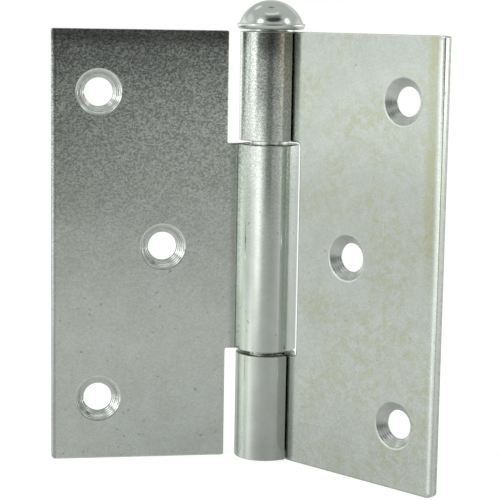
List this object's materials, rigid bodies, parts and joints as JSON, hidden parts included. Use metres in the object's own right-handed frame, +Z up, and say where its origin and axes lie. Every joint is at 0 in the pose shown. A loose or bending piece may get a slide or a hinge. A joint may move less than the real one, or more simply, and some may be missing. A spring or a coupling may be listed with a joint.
{
  "type": "loose pin butt hinge",
  "caption": "Lift off butt hinge of rolled sheet steel, bright zinc plated, with countersunk leaves and a domed loose pin.",
  "frame": {"origin": "centre of the pin's lower end, on the hinge axis, level with the leaves' lower edges", "axes": "+Z up along the pin towards its domed head; the frame leaf lies along +X with its back face towards +Y"},
  "size_m": [0.0731, 0.0427, 0.0953],
  "materials": {
    "leaf_steel": "bright zinc plated, satin",
    "pin_steel": "bright zinc plated, polished head"
  },
  "bodies": {
    "frame_leaf": {"frame_leaf": "leaf_steel"},
    "door_leaf": {"door_leaf": "leaf_steel"},
    "hinge_pin": {"hinge_pin": "pin_steel"}
  },
  "joints": [
    {"name": "leaf_swing", "type": "hinge", "parent": "frame_leaf", "child": "door_leaf", "pos_m": [0, 0, 0], "axis": [0, 0, -1], "range_deg": [-126.5, 198.5]},
    {"name": "pin_lift", "type": "slide", "parent": "frame_leaf", "child": "hinge_pin", "axis": [0, 0, 1], "range_m": [0, 0.092]}
  ]
}
